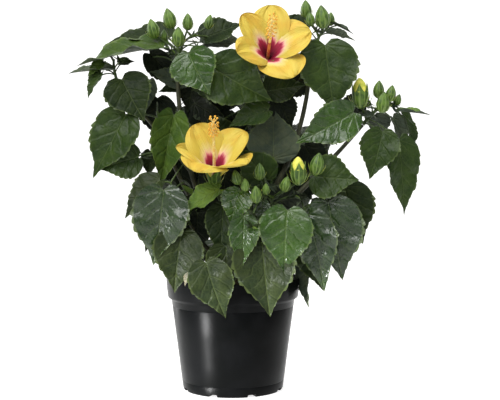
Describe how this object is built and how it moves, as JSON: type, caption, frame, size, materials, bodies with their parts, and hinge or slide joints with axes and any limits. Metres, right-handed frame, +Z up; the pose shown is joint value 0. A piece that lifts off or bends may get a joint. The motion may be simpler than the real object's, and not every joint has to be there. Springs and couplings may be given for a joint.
{
  "type": "potted hibiscus shrub",
  "caption": "Potted hibiscus shrub in bloom: toothed heart-shaped leaves on slim boughs, green buds and open yellow blooms with a dark red throat, in a tapered black plastic nursery pot.",
  "frame": {"origin": "middle of the pot's flat underside, where it stands", "axes": "+Z up the plant, -Y towards its front, +X to the right as seen from the front"},
  "size_m": [0.3589, 0.208, 0.3868],
  "materials": {
    "pot_plastic": "black satin moulded plastic with a soft sheen",
    "potting_soil": "loose dark red-brown peat, dull",
    "bark": "thin grey-brown bark with fine lengthwise ridges",
    "bough": "young green-brown bark, slightly ridged",
    "foliage": "dark green leaves with paler veins and a waxy gloss, green buds",
    "bloom": "soft yellow petals with a dark red throat, among green leaves"
  },
  "bodies": {
    "root": {"pot": "pot_plastic", "soil": "potting_soil", "trunk": "bark", "left_bough": "bough", "far_left_bough": "bough", "middle_left_bough": "bough", "lower_left_bough": "bough", "lower_bloom_bough": "bough", "front_bough": "bough", "lower_right_bough": "bough", "right_bough": "bough", "upper_right_bough": "bough", "upper_bloom_bough": "bough", "back_left_bough": "bough", "back_right_bough": "bough", "back_centre_bough": "bough", "upper_left_shoot": "foliage", "far_left_shoot": "foliage", "middle_left_shoot": "foliage", "lower_left_shoot": "foliage", "lower_bloom_shoot": "bloom", "front_shoot": "foliage", "front_skirt_shoot": "foliage", "lower_right_shoot": "foliage", "right_shoot": "foliage", "upper_right_shoot": "foliage", "upper_bloom_shoot": "bloom", "back_left_shoot": "foliage", "back_right_shoot": "foliage", "back_centre_shoot": "foliage", "back_skirt_shoot": "foliage"}
  },
  "joints": []
}
